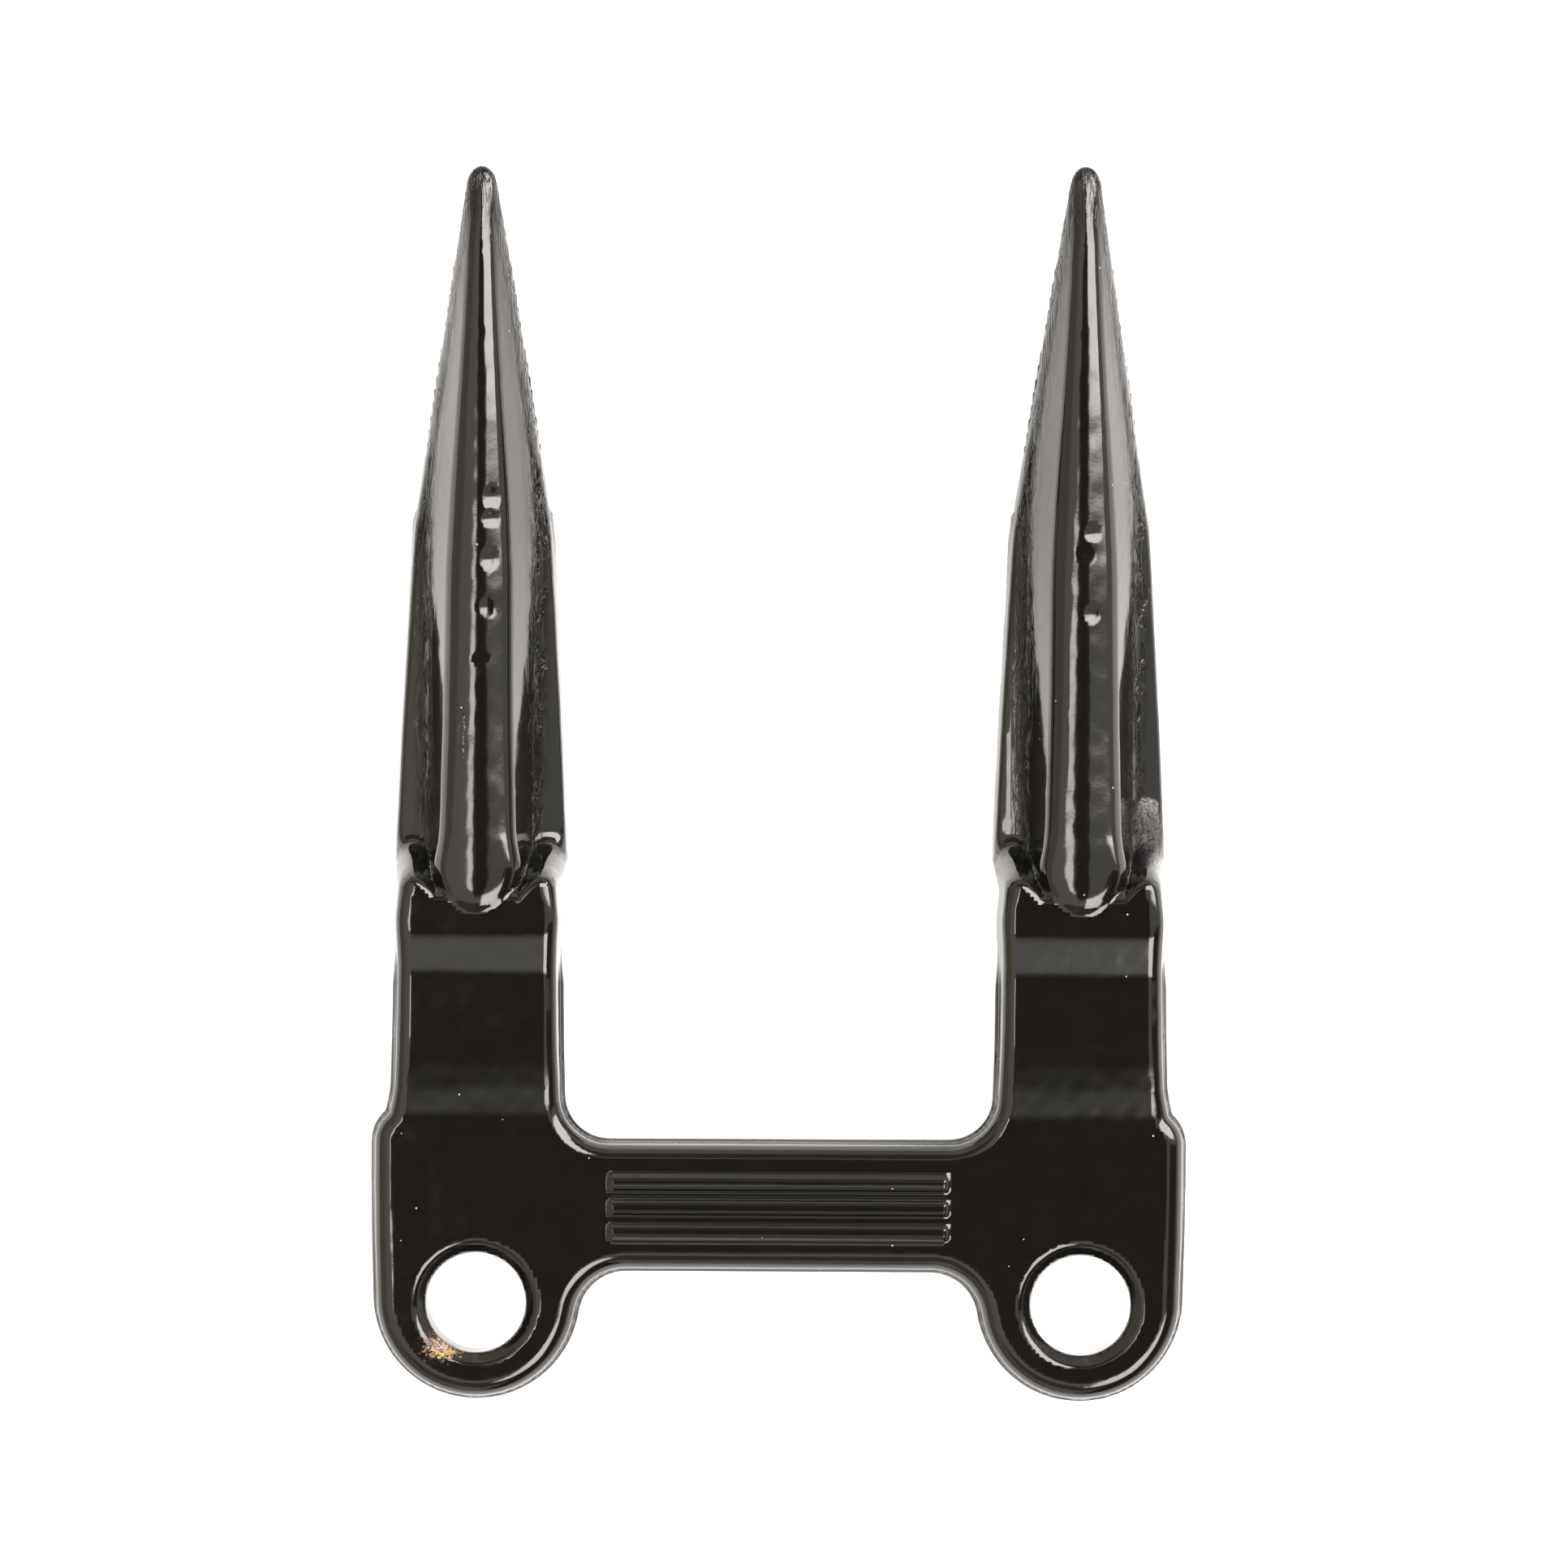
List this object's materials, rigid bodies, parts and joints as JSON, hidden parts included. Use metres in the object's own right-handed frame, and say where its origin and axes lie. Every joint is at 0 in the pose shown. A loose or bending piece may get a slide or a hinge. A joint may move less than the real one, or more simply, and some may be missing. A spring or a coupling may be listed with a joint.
{
  "type": "double knife guard",
  "caption": "Double knife guard for a mower or combine cutter bar: bolting plate with lugs, two shanks, two pointed fingers with ledger faces, and welded upper lips.",
  "frame": {"origin": "middle of the bridge, on the seating face that bolts against the cutter bar", "axes": "+Y forward to the finger tips, +X to the right across the pitch, +Z out of the guard's underside, which faces the ground in use and faces up here"},
  "size_m": [0.103, 0.1562, 0.0249],
  "materials": {
    "forging_paint": "gloss black paint over a hot forging",
    "lip_paint": "gloss black paint over a hot forging",
    "weld_paint": "gloss black paint over a weld bead"
  },
  "bodies": {
    "root": {"guard_body": "forging_paint", "lip_left": "lip_paint", "lip_right": "lip_paint", "weld_left_inner": "weld_paint", "weld_left_outer": "weld_paint", "weld_right_inner": "weld_paint", "weld_right_outer": "weld_paint"}
  },
  "joints": []
}
